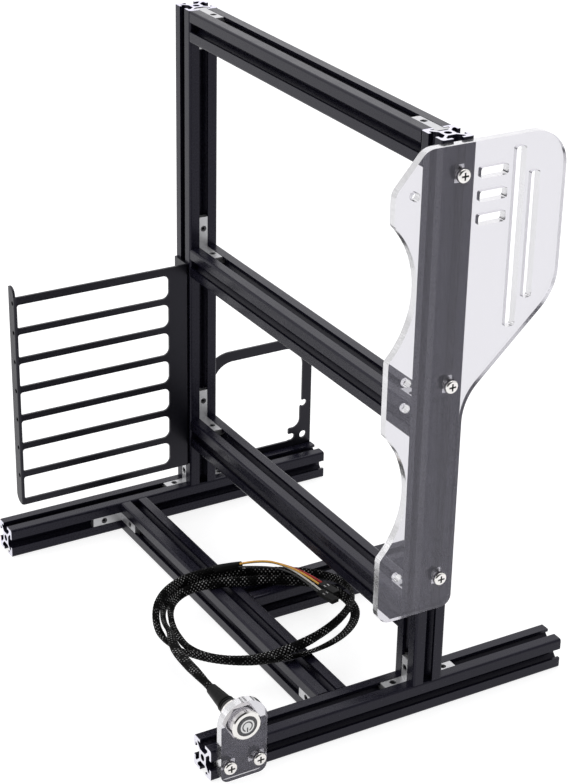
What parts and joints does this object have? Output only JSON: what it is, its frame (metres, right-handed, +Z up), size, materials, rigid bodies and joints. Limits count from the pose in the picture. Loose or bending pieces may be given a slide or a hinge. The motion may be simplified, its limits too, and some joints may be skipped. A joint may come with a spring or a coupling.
{
  "type": "open air test bench",
  "caption": "Open computer test bench: a black slotted-bar frame for a board, cards, power supply and fans, with a clear side plate and a wired push button.",
  "frame": {"origin": "on the floor, in the middle of the bench's footprint without its harness", "axes": "+X along the beams towards the clear plate, +Y along the rails away from the button, +Z up"},
  "size_m": [0.3104, 0.24, 0.352],
  "materials": {
    "bar_black": "satin black anodised, bare metal at the cut ends",
    "corner_bracket": "matte zinc plated",
    "set_screw": "black oxide",
    "sheet_black": "satin black powder coat",
    "screw_nickel": "nickel plated",
    "slot_nut": "nickel plated",
    "clear_plate": "clear acrylic, polished",
    "switch_metal": "nickel plated",
    "lamp_lens": "grey lens, unlit",
    "seal_rubber": "plain",
    "black_plastic": "moulded",
    "spring_steel": "bright wire",
    "boot_black": "shrunk tube",
    "braided_sleeve": "braided filament sleeve",
    "wire_amber": "insulated wire",
    "wire_red": "insulated wire",
    "wire_white": "insulated wire",
    "wire_black": "insulated wire"
  },
  "bodies": {
    "bench": {"base_cross_beam": "bar_black", "base_rail_left": "bar_black", "base_rail_right": "bar_black", "base_strut": "bar_black", "beam_lower": "bar_black", "beam_middle": "bar_black", "beam_top": "bar_black", "bracket_cross_left": "corner_bracket", "bracket_cross_right": "corner_bracket", "bracket_foot_far_left": "corner_bracket", "bracket_foot_far_right": "corner_bracket", "bracket_foot_near_left": "corner_bracket", "bracket_foot_near_right": "corner_bracket", "bracket_lower_left": "corner_bracket", "bracket_lower_right": "corner_bracket", "bracket_middle_left": "corner_bracket", "bracket_middle_right": "corner_bracket", "bracket_set_screws": "set_screw", "bracket_strut": "corner_bracket", "bracket_top_left": "corner_bracket", "bracket_top_right": "corner_bracket", "card_bracket": "sheet_black", "card_bracket_nuts": "slot_nut", "card_bracket_screws": "screw_nickel", "connector_lamp": "black_plastic", "connector_switch": "black_plastic", "harness_coil": "braided_sleeve", "harness_lead": "braided_sleeve", "post_left": "bar_black", "post_right": "bar_black", "return_spring": "spring_steel", "side_plate": "clear_plate", "side_plate_nuts": "slot_nut", "side_plate_screws": "screw_nickel", "supply_bracket": "sheet_black", "supply_bracket_nuts": "slot_nut", "supply_bracket_screws": "screw_nickel", "switch_boot": "boot_black", "switch_housing": "switch_metal", "switch_insulator": "black_plastic", "switch_nut": "switch_metal", "switch_plate": "clear_plate", "switch_plate_nuts": "slot_nut", "switch_plate_screws": "screw_nickel", "switch_seal": "seal_rubber", "wire_amber": "wire_amber", "wire_black": "wire_black", "wire_red": "wire_red", "wire_white": "wire_white"},
    "button": {"button_cap": "switch_metal", "button_ring": "lamp_lens"}
  },
  "joints": [
    {"name": "power_button", "type": "slide", "parent": "bench", "child": "button", "axis": [-1, 0, 0], "range_m": [0, 0.0015], "stiffness_N_per_m": 400, "springref_m": -0.004, "deforming": ["return_spring"]}
  ]
}
